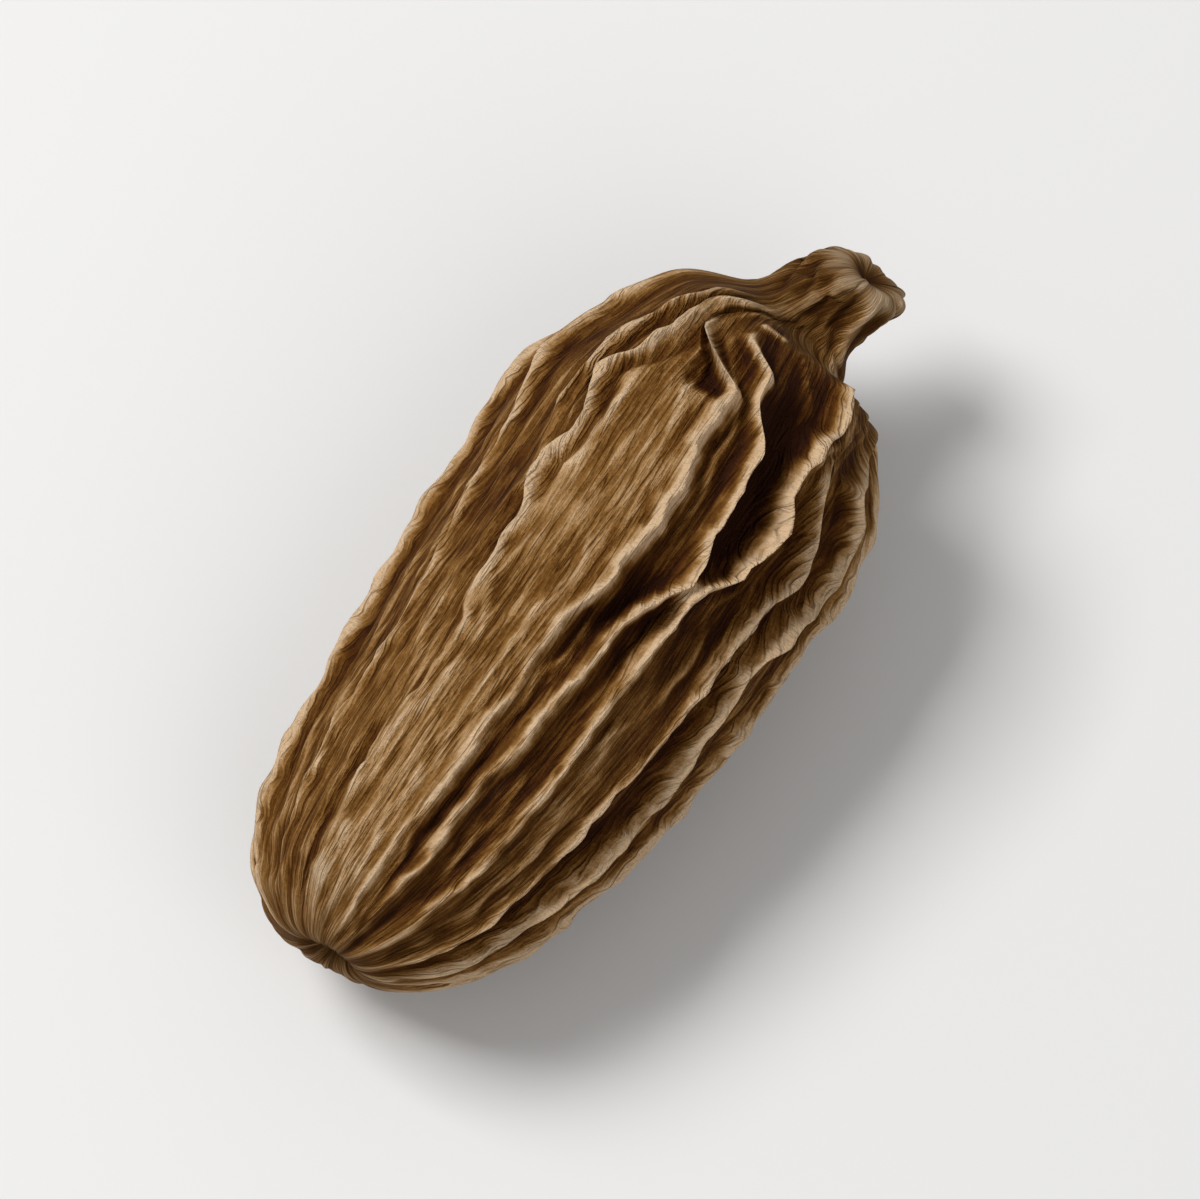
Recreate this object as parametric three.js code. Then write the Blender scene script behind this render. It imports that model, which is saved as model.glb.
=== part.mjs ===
// A dried black cardamom pod: a wrinkled capsule with raised wavy crests, a bent beak and a stem scar. It is
// one solid, in millimetres. +X runs from the stem scar to the beak and +Z is up. The pod lies on a small
// flat spot at Z = 0, with the origin under the middle of its box.
import * as THREE from "three";
import { mergeVertices } from "three/addons/utils/BufferGeometryUtils.js";

const { degToRad, lerp, smoothstep } = THREE.MathUtils;

// Driving dimensions, in millimetres. A station is a place along the axis, counted from the neck: the stem
// is negative.
const BODY_LENGTH = 21.4;
const BEAK_LENGTH = 1.9;
const BODY_RADIUS = 4.9;
const NECK_RADIUS = 1.2;
const LIP_RADIUS = 1.19;
const TIP_SLANT = 0.5;
const SCAR_RADIUS = 0.85;
const SCAR_DEPTH = 0.7;
const HEIGHT_OVER_WIDTH = 0.96;
const BODY_BOW = 1.9;
const STEM = -BODY_LENGTH;
const TIP = BEAK_LENGTH;

// How the tip's slant is turned, in degrees, how the beak bends, in degrees and stations, and how the pod
// lies, in degrees and millimetres
const SLANT_TURN = 40;
const BEAK_BEND = 40;
const BEND_RISE = 30;
const BEND_FROM = -2.4;
const BEND_TO = 0.7;
const SPINE_STEPS = 24;
const ROLL = 10;
const BEAK_LIFT = 3;
const FLAT_DEPTH = 0.5;

// A web of husk that fills the inner side of the beak's bend: its middle and spread round the pod, in
// degrees, its middle and spread along the pod, and its height
const WEB_ANGLE = 90;
const WEB_ANGLE_SPREAD = 45;
const WEB_STATION = -0.4;
const WEB_SPREAD = 0.85;
const WEB_HEIGHT = 0.85;

// The mesh: rings from the stem to the tip, and columns from each crest to the next
const RINGS = 62;
const COLUMNS_PER_CREST = 4;

// The relief, in millimetres, and the least gap between crests, in degrees
const CREST_HALF_WIDTH = 0.34;
const CREST_SHARPNESS = 1.5;
const VALVES = 3;
const VALVE_SWELL = 0.025;
const RELIEF_FULL_RADIUS = 3;
const RELIEF_ON_BEAK = 0.25;
const LONG_MEANDER = { wave: 6.7, reach: 0.1 };
const SHORT_MEANDER = { wave: 3.1, reach: 0.03 };
const LEAST_GAP = 2.5;

// Crests on the upper side, each followed from the neck to the stem by values at stations. The path is the
// crest's angle in degrees: 0 is the top and a positive angle is towards -Y. The floor is how far the husk
// swells (+) or sinks (-) between this crest and the next.
const UPPER_CRESTS = [
  {
    path: [[-0.5, -88], [-3, -92], [-8, -88], [-15, -80]],
    height: [[-1, 0.15], [-5, 0.34]],
    floor: [[-2, -0.1], [-8, -0.05]],
  },
  {
    path: [[-0.5, -66], [-3.9, -71], [-5.5, -69], [-7.6, -64], [-11.2, -55], [-15, -52]],
    height: [[-1.5, 0.2], [-3, 0.36], [-6, 0.3], [-9, 0.22]],
    floor: [[-2, -0.18], [-5, -0.1], [-9, 0.05]],
  },
  {
    path: [[-0.5, -30], [-3.1, -44], [-6.1, -47], [-10.2, -44], [-15, -41]],
    height: [[-1.2, 0.2], [-2.5, 0.3], [-4.5, 0.26], [-6, 0.18], [-10, 0.12]],
    floor: [[-2, -0.15], [-5, -0.12], [-9, 0]],
  },
  {
    path: [
      [0.2, -8], [-1.5, -19], [-2, -26], [-4.3, -30], [-5.4, -37.5],
      [-6.7, -35], [-8.1, -38.5], [-9.6, -34.5], [-12, -31], [-15, -30],
    ],
    height: [[0.2, 0.3], [-3, 0.5], [-10.6, 0.42], [-13, 0.24]],
    floor: [[-2, -0.04], [-3, -0.05], [-5, 0.12], [-9, 0.14]],
  },
  {
    path: [
      [-0.4, -6], [-1.5, -16], [-2.1, -24], [-2.9, -25], [-4, -20],
      [-6.3, -20], [-10.1, -17.5], [-15, -19],
    ],
    height: [[-3.4, 0.02], [-5, 0.1]],
    floor: [[-1.6, -0.1], [-2.3, -0.4], [-3.2, -0.6], [-4.3, -0.6], [-4.9, 0.06], [-9, 0.14]],
  },
  {
    path: [
      [-0.4, -3], [-1.5, -12], [-2.5, -22], [-3, -21], [-3.5, -15.5], [-4, -6],
      [-4.4, -1], [-5.2, 0], [-8.2, 0.8], [-10.5, -2], [-15, -5],
    ],
    height: [[-2, 0.04], [-3, 0.4], [-10.6, 0.42], [-13, 0.26]],
    floor: [[-2.4, -0.1], [-3.5, -0.25], [-7.5, -0.25], [-10.5, -0.7], [-13, -0.15]],
  },
  {
    path: [
      [-0.4, 14], [-1.6, -2], [-2.5, -5], [-2.9, 0], [-3.3, 6.5], [-4.4, 10], [-4.9, 13],
      [-6.1, 14.8], [-8.1, 17.5], [-9.3, 20], [-10.4, 15], [-11.6, 10], [-15, 7],
    ],
    height: [[-1.6, 0.06], [-2.7, 0.46], [-9.2, 0.48], [-12, 0.3]],
    floor: [[-1.8, -0.15], [-3, -0.4], [-4.6, -1], [-7.5, -0.95], [-8.9, -0.3], [-11, -0.4], [-13, -0.1]],
  },
  {
    path: [
      [1.4, 44], [0.3, 58], [-0.5, 60], [-1.4, 48], [-2.3, 40], [-2.9, 39.5], [-4.1, 33], [-5.4, 28.5],
      [-6.5, 34], [-7.3, 35], [-8.35, 32], [-9.1, 25.5], [-9.8, 22.5], [-11.6, 21], [-15, 24],
    ],
    height: [[1.4, 0.5], [0, 0.8], [-1, 0.45], [-1.7, 0.32], [-3, 0.52], [-9, 0.5], [-12, 0.28]],
    floor: [[-3, -0.1], [-4.6, -0.1], [-6, -0.3], [-9, -0.5], [-13, 0]],
  },
  {
    path: [
      [-0.4, 76], [-1.4, 70], [-3.1, 52], [-4.5, 38.5], [-5.3, 40.5],
      [-6.75, 49], [-7.5, 51], [-8.4, 48.5], [-11, 44], [-15, 45],
    ],
    height: [[-3.8, 0.04], [-5, 0.3], [-12, 0.26]],
    floor: [[-3, -0.2], [-6, -0.3], [-9, -0.3]],
  },
  {
    path: [
      [-0.4, 92], [-1.4, 84], [-3.1, 66], [-4.4, 58], [-5.2, 64.5],
      [-6.5, 66.5], [-8.35, 61], [-9.7, 57], [-15, 62],
    ],
    height: [[-3, 0.15], [-5, 0.44]],
    floor: [[-3, -0.2], [-9, -0.1]],
  },
  {
    path: [[-0.4, 106], [-1.4, 101], [-3.1, 92], [-5, 88], [-8, 82], [-15, 84]],
    height: [[-1, 0.12], [-5, 0.34]],
    floor: [[-3, -0.15], [-9, -0.05]],
  },
];

// Crests on the underside, spaced by a rule and scattered a little
const UNDER_COUNT = 7;
const UNDER_FROM = 110;
const UNDER_TO = 250;
const UNDER_STATIONS = [-1, -5, -10, -15];
const UNDER_SWAY = 9;
const UNDER_HEIGHT = { low: 0.22, high: 0.46 };
const UNDER_FLOOR = { low: -0.3, high: 0.1 };

// A fixed scatter between 0 and 1 for the nth draw
function scatter(n) {
  const value = Math.sin(n * 12.9898) * 43758.5453;
  return value - Math.floor(value);
}

function underCrest(i) {
  const angle = lerp(UNDER_FROM, UNDER_TO, i / (UNDER_COUNT - 1));
  const draw = 10 * i;
  return {
    path: UNDER_STATIONS.map((station, n) => [station, angle + UNDER_SWAY * (scatter(draw + n) - 0.5)]),
    height: [[-1, 0.1], [-5, lerp(UNDER_HEIGHT.low, UNDER_HEIGHT.high, scatter(draw + 5))]],
    floor: [[-8, lerp(UNDER_FLOOR.low, UNDER_FLOOR.high, scatter(draw + 6))]],
  };
}

const CRESTS = [...UPPER_CRESTS, ...Array.from({ length: UNDER_COUNT }, (_, i) => underCrest(i))];

// The slope at a station: the neighbours' slopes shared, or level where the value turns back
function slopeAt(stations, i) {
  if (i === 0 || i === stations.length - 1) return 0;
  const [before, after] = [i - 1, i].map(
    (n) => (stations[n + 1][1] - stations[n][1]) / (stations[n + 1][0] - stations[n][0]),
  );
  return before * after > 0 ? (2 * before * after) / (before + after) : 0;
}

// A value given at stations that run from the neck to the stem, on a smooth line that never overshoots them
function along(stations, x) {
  const last = stations.length - 1;
  if (x >= stations[0][0]) return stations[0][1];
  if (x <= stations[last][0]) return stations[last][1];
  const i = stations.findIndex(([place], n) => n < last && x <= place && x > stations[n + 1][0]);
  const [near, start] = stations[i];
  const [far, end] = stations[i + 1];
  const share = (x - near) / (far - near);
  const leave = slopeAt(stations, i) * (far - near);
  const arrive = slopeAt(stations, i + 1) * (far - near);
  const cubic = 2 * start - 2 * end + leave + arrive;
  const square = -3 * start + 3 * end - 2 * leave - arrive;
  return ((cubic * share + square) * share + leave) * share + start;
}

// How far a crest strays sideways at a station, with a start of its own by the draw
function meander(kind, x, draw) {
  return kind.reach * Math.sin(2 * Math.PI * (x / kind.wave + scatter(draw)));
}

// The angles of all crests on a ring, in radians, each with its meander. Crests may touch but never cross,
// and the first comes again after a turn.
function crestAngles(radius, x) {
  const room = smoothstep(radius, NECK_RADIUS, BODY_RADIUS) / BODY_RADIUS;
  const angles = [];
  CRESTS.forEach(({ path }, k) => {
    const sideways = meander(LONG_MEANDER, x, 200 + k) + meander(SHORT_MEANDER, x, 300 + k);
    const angle = degToRad(along(path, x)) + room * sideways;
    angles.push(k === 0 ? angle : Math.max(angle, angles[k - 1] + degToRad(LEAST_GAP)));
  });
  return [...angles, angles[0] + 2 * Math.PI];
}

// The side outline from the scar to the hollow tip: distance from the axis, then station
function outline() {
  const points = [
    [0, STEM + SCAR_DEPTH],
    [SCAR_RADIUS, STEM],
    [0.4 * BODY_RADIUS, STEM + 0.3],
    [0.7 * BODY_RADIUS, STEM + 2],
    [0.88 * BODY_RADIUS, STEM + 5],
    [0.97 * BODY_RADIUS, STEM + 9],
    [BODY_RADIUS, -8.5],
    [BODY_RADIUS, -5.2],
    [0.85 * BODY_RADIUS, -3.2],
    [0.66 * BODY_RADIUS, -1.7],
    [0.3 * BODY_RADIUS, -0.7],
    [NECK_RADIUS, 0.2],
    [LIP_RADIUS, TIP - 0.75],
    [0.93 * LIP_RADIUS, TIP - 0.3],
    [0.72 * LIP_RADIUS, TIP - 0.05],
    [0.45 * LIP_RADIUS, TIP - 0.02],
    [0, TIP - 0.3],
  ];
  return new THREE.SplineCurve(points.map(([radius, x]) => new THREE.Vector2(radius, x)));
}

// How much of a crest's height is left at a distance from its line
function crestShape(distance) {
  return Math.exp(-Math.pow(distance / CREST_HALF_WIDTH, CREST_SHARPNESS));
}

// How far the web stands out at an angle and a station
function web(angle, x) {
  const aside = (angle - degToRad(WEB_ANGLE)) / degToRad(WEB_ANGLE_SPREAD);
  const away = (x - WEB_STATION) / WEB_SPREAD;
  return WEB_HEIGHT * Math.exp(-aside * aside - away * away);
}

// A point of the straight pod, between crest k and the next, on a ring of the outline
function huskPoint(k, share, angles, radius, x) {
  const [from, to] = [angles[k], angles[k + 1]];
  const angle = lerp(from, to, share);
  const gap = radius * (to - from);
  const crest = CRESTS[k];
  const next = CRESTS[(k + 1) % CRESTS.length];
  const relief =
    along(crest.height, x) * crestShape(share * gap) +
    along(next.height, x) * crestShape((1 - share) * gap) +
    along(crest.floor, x) * 4 * share * (1 - share);
  const onBeak = RELIEF_ON_BEAK * smoothstep(radius, 0, SCAR_RADIUS);
  const fade = lerp(onBeak, 1, smoothstep(radius, NECK_RADIUS, RELIEF_FULL_RADIUS));
  const valves = VALVE_SWELL * Math.cos(VALVES * angle) * smoothstep(radius, NECK_RADIUS, BODY_RADIUS);
  const filling = web(angle, x) * smoothstep(radius, 0, NECK_RADIUS);
  const reach = radius * (1 + valves) + relief * fade + filling;
  const slant = TIP_SLANT * reach * Math.sin(angle - degToRad(SLANT_TURN)) * smoothstep(x, 0, TIP);
  return new THREE.Vector3(x + slant, -reach * Math.sin(angle), HEIGHT_OVER_WIDTH * reach * Math.cos(angle));
}

// How far the beak has turned at a station, in radians
function beakTurn(x) {
  return degToRad(BEAK_BEND) * smoothstep(x, BEND_FROM, BEND_TO);
}

// Bows the straight pod's stem end towards +Y, and carries a point round the bend of the beak, which turns
// towards -Y and rises a little
function bend(point) {
  const rise = degToRad(BEND_RISE);
  const straight = point.clone();
  straight.y += BODY_BOW * Math.pow(Math.min(point.x, 0) / BODY_LENGTH, 2);
  straight.applyAxisAngle(new THREE.Vector3(1, 0, 0), rise);
  const step = Math.max(straight.x - BEND_FROM, 0) / SPINE_STEPS;
  const spine = new THREE.Vector3(Math.min(straight.x, BEND_FROM), 0, straight.z);
  for (let i = 0; i < SPINE_STEPS; i++) {
    const angle = beakTurn(BEND_FROM + (i + 0.5) * step);
    spine.x += step * Math.cos(angle);
    spine.y -= step * Math.sin(angle);
  }
  const turn = beakTurn(straight.x);
  spine.x += straight.y * Math.sin(turn);
  spine.y += straight.y * Math.cos(turn);
  return spine.applyAxisAngle(new THREE.Vector3(1, 0, 0), -rise);
}

// Lays the pod down, presses its lowest part flat and puts the origin under the middle of its box
function lay(geometry) {
  geometry.rotateX(degToRad(ROLL));
  geometry.rotateY(-degToRad(BEAK_LIFT));
  geometry.computeBoundingBox();
  const floor = geometry.boundingBox.min.z + FLAT_DEPTH;
  const position = geometry.getAttribute("position");
  for (let i = 0; i < position.count; i++) position.setZ(i, Math.max(position.getZ(i), floor));
  const middle = geometry.boundingBox.getCenter(new THREE.Vector3());
  geometry.translate(-middle.x, -middle.y, -floor);
}

// The skin starts as a turned form. Each of its vertices is then moved to its place on the husk.
function podGeometry() {
  const rings = outline().getSpacedPoints(RINGS - 1);
  const columns = CRESTS.length * COLUMNS_PER_CREST;
  const turned = new THREE.LatheGeometry(rings, columns);
  const position = turned.getAttribute("position");
  rings.forEach((ring, row) => {
    const angles = crestAngles(ring.x, ring.y);
    for (let column = 0; column <= columns; column++) {
      const place = (column % columns) / COLUMNS_PER_CREST;
      const k = Math.floor(place);
      const point = bend(huskPoint(k, place - k, angles, ring.x, ring.y));
      position.setXYZ(column * rings.length + row, point.x, point.y, point.z);
    }
  });
  turned.deleteAttribute("normal");
  turned.deleteAttribute("uv");
  lay(turned);
  const skin = mergeVertices(turned);
  skin.computeVertexNormals();
  return skin;
}

const husk = new THREE.MeshStandardMaterial({ color: 0x69492a, roughness: 0.8, metalness: 0 });
const pod = new THREE.Mesh(podGeometry(), husk);
pod.name = "pod";

const cardamom = new THREE.Group();
cardamom.add(pod);

export default cardamom;
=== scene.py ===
# %% [markdown]
# # A dried black cardamom pod
#
# This lesson dresses one pod: a wrinkled brown capsule as long as a thumbnail, with thin wavy crests
# along it, a bent beak where the flower sat, and a puckered scar where the stem broke off. The solid
# comes first, as a fixed frame. The looks are then made around it, in metres and in the same place.

# %% Load the frame
import math

import bpy
import numpy as np
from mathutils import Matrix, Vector, noise


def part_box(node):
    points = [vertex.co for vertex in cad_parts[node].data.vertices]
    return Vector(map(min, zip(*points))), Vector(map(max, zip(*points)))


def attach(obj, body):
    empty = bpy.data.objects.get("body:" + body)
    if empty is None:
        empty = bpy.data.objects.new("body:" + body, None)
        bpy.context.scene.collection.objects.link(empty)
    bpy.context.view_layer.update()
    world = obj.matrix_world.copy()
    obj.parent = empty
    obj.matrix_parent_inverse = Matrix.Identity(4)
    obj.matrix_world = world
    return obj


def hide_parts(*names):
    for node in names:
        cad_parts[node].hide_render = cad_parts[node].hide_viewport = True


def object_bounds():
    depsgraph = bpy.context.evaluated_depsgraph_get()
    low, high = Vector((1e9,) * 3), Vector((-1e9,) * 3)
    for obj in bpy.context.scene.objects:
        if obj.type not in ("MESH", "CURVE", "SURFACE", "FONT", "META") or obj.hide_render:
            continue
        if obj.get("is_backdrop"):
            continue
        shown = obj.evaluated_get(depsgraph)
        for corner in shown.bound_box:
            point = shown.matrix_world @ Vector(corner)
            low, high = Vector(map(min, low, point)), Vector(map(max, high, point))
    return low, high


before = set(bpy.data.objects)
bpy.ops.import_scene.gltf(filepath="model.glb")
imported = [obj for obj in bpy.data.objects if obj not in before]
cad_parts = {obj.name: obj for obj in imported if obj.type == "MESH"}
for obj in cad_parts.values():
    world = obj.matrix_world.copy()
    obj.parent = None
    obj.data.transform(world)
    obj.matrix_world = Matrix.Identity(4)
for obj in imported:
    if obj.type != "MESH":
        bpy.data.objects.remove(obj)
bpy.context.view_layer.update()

# %% [markdown]
# ## The pod's measures
#
# The real pod is a bag of seeds that dried and shrank, so its skin is too large for it and stands up in
# crests. Such a skin could be sculpted by hand with a crease brush. Here it is worked out from a few
# measures, because the crests then fall just where the solid has them. Lengths are in millimetres until
# the mesh is placed. A station is a place along the pod, counted from the neck of the beak: the stem's
# end is negative.

# %% Measures
MM = 0.001
SCATTER_STEP = 12.9898
SCATTER_SPREAD = 43758.5453
BODY_LENGTH = 21.4
BEAK_LENGTH = 1.9
BODY_RADIUS = 4.9
NECK_RADIUS = 1.2
LIP_RADIUS = 1.19
TIP_SLANT = 0.5
SLANT_TURN = math.radians(40)
SCAR_RADIUS = 0.85
SCAR_DEPTH = 0.7
HEIGHT_OVER_WIDTH = 0.96
STEM = -BODY_LENGTH
TIP = BEAK_LENGTH


def smoothstep(value, low, high):
    """0 below low, 1 above high, and an eased slope between."""
    share = np.clip((value - low) / (high - low), 0, 1)
    return share * share * (3 - 2 * share)


def scatter(draw):
    """A fixed scatter between 0 and 1 for a draw's number."""
    return np.sin(draw * SCATTER_STEP) * SCATTER_SPREAD % 1


print("pod from stem to tip:", BODY_LENGTH + BEAK_LENGTH, "mm")

# %% [markdown]
# ## A sheet to start from
#
# The husk is a skin wrapped round the seeds, so a flat grid is the start. It is rolled into a ball, as a
# sheet of dough would be, and its edges are welded. Its columns will run along the pod from crest to
# crest, and its rings will go round it. Each vertex is then known by its ring and its column.

# %% The sheet, rolled and welded
CRESTS_ROUND = 18
COLUMNS_PER_CREST = 24
COLUMNS = CRESTS_ROUND * COLUMNS_PER_CREST
RINGS = 228
WELD = 0.00001

bpy.ops.object.select_all(action="DESELECT")
bpy.ops.mesh.primitive_grid_add(x_subdivisions=COLUMNS, y_subdivisions=RINGS, size=2)
husk = bpy.context.object
husk.name = "husk"
husk.data.name = "husk"


def places_of(mesh):
    """The vertices of a mesh, as rows of three coordinates."""
    places = np.empty(3 * len(mesh.vertices))
    mesh.vertices.foreach_get("co", places)
    return places.reshape(-1, 3)


sheet = places_of(husk.data)
turned = math.pi * (sheet[:, 0] + 1)
risen = math.pi * (sheet[:, 1] + 1) / 2
ball = np.stack([np.cos(turned) * np.sin(risen), np.sin(turned) * np.sin(risen), -np.cos(risen)], axis=1)
husk.data.vertices.foreach_set("co", ball.ravel())
bpy.ops.object.mode_set(mode="EDIT")
bpy.ops.mesh.select_all(action="SELECT")
bpy.ops.mesh.remove_doubles(threshold=WELD)
bpy.ops.object.mode_set(mode="OBJECT")

ball = places_of(husk.data)
from_stem = np.arccos(np.clip(-ball[:, 2], -1, 1)) / math.pi
round_share = np.arctan2(ball[:, 1], ball[:, 0]) / (2 * math.pi)
ring_of = np.rint(from_stem * RINGS).astype(int)
column_of = np.rint(round_share * COLUMNS).astype(int) % COLUMNS
print("rolled sheet:", len(ball), "vertices in", RINGS + 1, "rings, poles included")

# %% [markdown]
# ## The side outline
#
# Seen from the side the pod is a plump oval with a broad shoulder, a short neck and a flared lip. A
# smooth curve through a few points gives that outline. More rings go to the beak and the scar, where the
# outline turns fast.

# %% The outline
OUTLINE = [
    (0, STEM + SCAR_DEPTH),
    (SCAR_RADIUS, STEM),
    (0.4 * BODY_RADIUS, STEM + 0.3),
    (0.7 * BODY_RADIUS, STEM + 2),
    (0.88 * BODY_RADIUS, STEM + 5),
    (0.97 * BODY_RADIUS, STEM + 9),
    (BODY_RADIUS, -8.5),
    (BODY_RADIUS, -5.2),
    (0.85 * BODY_RADIUS, -3.2),
    (0.66 * BODY_RADIUS, -1.7),
    (0.3 * BODY_RADIUS, -0.7),
    (NECK_RADIUS, 0.2),
    (LIP_RADIUS, TIP - 0.75),
    (0.93 * LIP_RADIUS, TIP - 0.3),
    (0.72 * LIP_RADIUS, TIP - 0.05),
    (0.45 * LIP_RADIUS, TIP - 0.02),
    (0, TIP - 0.3),
]
SAMPLES = 3000
CROWDING = 1.6
CROWDED_LENGTH = 3.0


def smooth_curve(points, samples):
    """A smooth curve through the points."""
    points = np.array(points, dtype=float)
    place = np.linspace(0, len(points) - 1, samples)
    start = np.minimum(place.astype(int), len(points) - 2)
    share = (place - start)[:, None]
    before, first, second, after = (
        points[np.clip(start + step, 0, len(points) - 1)] for step in (-1, 0, 1, 2)
    )
    leave, arrive = (second - before) / 2, (after - first) / 2
    cubic = 2 * first - 2 * second + leave + arrive
    square = -3 * first + 3 * second - 2 * leave - arrive
    return ((cubic * share + square) * share + leave) * share + first


curve = smooth_curve(OUTLINE, SAMPLES)
steps = np.linalg.norm(np.diff(curve, axis=0), axis=1)
length = np.concatenate([[0], np.cumsum(steps)])
from_end = np.minimum(length, length[-1] - length)
crowd = 1 + CROWDING * np.exp(-((from_end / CROWDED_LENGTH) ** 2))
weight = np.concatenate([[0], np.cumsum(steps * crowd[1:])])
ring_weight = np.linspace(0, weight[-1], RINGS + 1)
radius = np.maximum(np.interp(ring_weight, weight, curve[:, 0]), 0)[:, None]
station = np.interp(ring_weight, weight, curve[:, 1])[:, None]
print("outline:", round(length[-1], 1), "mm from pole to pole, widest radius", round(radius.max(), 2), "mm")

# %% [markdown]
# ## The crests
#
# The crests are the first thing that one sees: tan, wavy lines that start at the beak and run down the
# pod, some meeting, some fading out. Each is followed here by a few values at stations. The path is its
# angle round the pod in degrees, where 0 is the top and positive turns to the right as seen from the
# stem. The height is how far it stands up, and the band makes its pale edge broader. The floor is how far
# the husk swells or sinks between this crest and the next. The tone says whether that strip of husk is
# paler or darker: mostly its own colour, but where the floor sinks deep its darkness is painted shade.

# %% The crests of the upper side
UPPER_CRESTS = [
    {
        "path": [(-0.5, -88), (-3, -92), (-8, -88), (-15, -80)],
        "height": [(-1, 0.15), (-5, 0.34)],
        "floor": [(-2, -0.1), (-8, -0.05)],
        "tone": [(-2, -0.06), (-8, -0.02)],
    },
    {
        "path": [(-0.5, -66), (-3.9, -71), (-5.5, -69), (-7.6, -64), (-11.2, -55), (-15, -52)],
        "height": [(-1.5, 0.2), (-3, 0.36), (-6, 0.3), (-9, 0.22)],
        "floor": [(-2, -0.18), (-5, -0.1), (-9, 0.05)],
        "tone": [(-2, -0.1), (-5, -0.06), (-9, 0)],
    },
    {
        "path": [(-0.5, -30), (-3.1, -44), (-6.1, -47), (-10.2, -44), (-15, -41)],
        "height": [(-1.2, 0.2), (-2.5, 0.3), (-4.5, 0.26), (-6, 0.18), (-10, 0.12)],
        "floor": [(-2, -0.15), (-5, -0.12), (-9, 0)],
        "tone": [(-2, -0.14), (-4.5, -0.04), (-9, 0)],
    },
    {
        "path": [
            (0.2, -8), (-1.5, -19), (-2, -26), (-4.3, -30), (-5.4, -37.5),
            (-6.7, -35), (-8.1, -38.5), (-9.6, -34.5), (-12, -31), (-15, -30),
        ],
        "height": [(0.2, 0.3), (-3, 0.5), (-10.6, 0.42), (-13, 0.24)],
        "floor": [(-2, -0.04), (-3, -0.05), (-5, 0.12), (-9, 0.14)],
        "tone": [(-2, 0), (-4, 0.1), (-6, 0.16)],
    },
    {
        "path": [
            (-0.4, -6), (-1.5, -16), (-2.1, -24), (-2.9, -25), (-4, -20),
            (-6.3, -20), (-10.1, -17.5), (-15, -19),
        ],
        "height": [(-3.4, 0.02), (-5, 0.1)],
        "floor": [(-1.6, -0.1), (-2.3, -0.4), (-3.2, -0.6), (-4.3, -0.6), (-4.9, 0.06), (-9, 0.14)],
        # The dark dip here is painted shade in the pocket; the paler tone further down is the husk's own.
        "tone": [(-2.2, -0.04), (-3.4, -0.16), (-4.6, 0.1), (-6, 0.16)],
    },
    {
        "path": [
            (-0.4, -3), (-1.5, -12), (-2.5, -22), (-3, -21), (-3.5, -15.5), (-4, -6),
            (-4.4, -1), (-5.2, 0), (-8.2, 0.8), (-10.5, -2), (-15, -5),
        ],
        "height": [(-2, 0.04), (-3, 0.4), (-10.6, 0.42), (-13, 0.26)],
        "band": [(-3, 1), (-4.2, 2.2), (-9, 1.9), (-12, 1.2)],
        "floor": [(-2.4, -0.1), (-3.5, -0.25), (-7.5, -0.25), (-10.5, -0.7), (-13, -0.15)],
        # The darker tone where the floor sinks deepest is painted shade.
        "tone": [(-2.4, 0), (-3.5, 0.04), (-7.5, -0.02), (-10.5, -0.12), (-13, -0.04)],
    },
    {
        "path": [
            (-0.4, 14), (-1.6, -2), (-2.5, -5), (-2.9, 0), (-3.3, 6.5), (-4.4, 10), (-4.9, 13),
            (-6.1, 14.8), (-8.1, 17.5), (-9.3, 20), (-10.4, 15), (-11.6, 10), (-15, 7),
        ],
        "height": [(-2.1, 0.04), (-2.9, 0.46), (-9.2, 0.48), (-12, 0.3)],
        "floor": [
            (-1.8, -0.15), (-3, -0.4), (-4.6, -1), (-7.5, -0.95),
            (-8.9, -0.3), (-11, -0.4), (-13, -0.1),
        ],
        # The dark tone along this deep trough is painted shade.
        "tone": [(-1.2, -0.06), (-2.6, -0.18), (-8, -0.22), (-11, -0.1)],
    },
    {
        "path": [
            (1.4, 44), (0.3, 58), (-0.5, 60), (-1.4, 48), (-2.3, 40),
            (-2.9, 39.5), (-4.1, 33), (-5.4, 28.5), (-6.5, 34), (-7.3, 35),
            (-8.35, 32), (-9.1, 25.5), (-9.8, 22.5), (-11.6, 21), (-15, 24),
        ],
        "height": [(1.4, 0.5), (0, 0.8), (-1, 0.45), (-1.7, 0.32), (-3, 0.52), (-9, 0.5), (-12, 0.28)],
        "band": [(-5, 1), (-6.4, 1.8), (-8, 1.8), (-9.5, 1)],
        "floor": [(-3, -0.1), (-4.6, -0.1), (-6, -0.3), (-9, -0.5), (-13, 0)],
        "tone": [(-3, 0), (-7, 0.02), (-9, -0.08), (-13, 0)],
    },
    {
        "path": [
            (-0.4, 76), (-1.4, 70), (-3.1, 52), (-4.5, 38.5), (-5.3, 40.5),
            (-6.75, 49), (-7.5, 51), (-8.4, 48.5), (-11, 44), (-15, 45),
        ],
        "height": [(-3.8, 0.04), (-5, 0.3), (-12, 0.26)],
        "floor": [(-3, -0.2), (-6, -0.3), (-9, -0.3)],
        "tone": [(-3, -0.02), (-9, -0.04)],
    },
    {
        "path": [
            (-0.4, 92), (-1.4, 84), (-3.1, 66), (-4.4, 58), (-5.2, 64.5),
            (-6.5, 66.5), (-8.35, 61), (-9.7, 57), (-15, 62),
        ],
        "height": [(-3, 0.15), (-5, 0.44)],
        "floor": [(-3, -0.2), (-9, -0.1)],
        "tone": [(-3, 0)],
    },
    {
        "path": [(-0.4, 106), (-1.4, 101), (-3.1, 92), (-5, 88), (-8, 82), (-15, 84)],
        "height": [(-1, 0.12), (-5, 0.34)],
        "floor": [(-3, -0.15), (-9, -0.05)],
        "tone": [(-3, -0.03)],
    },
]
print("crests on the upper side:", len(UPPER_CRESTS))

# %% [markdown]
# ## The crests out of sight
#
# The side that the pod lies on has crests too. They could be followed one by one as well, but nothing
# shows where they run. So a rule spaces them, and a scatter keeps them from looking alike.

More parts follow.
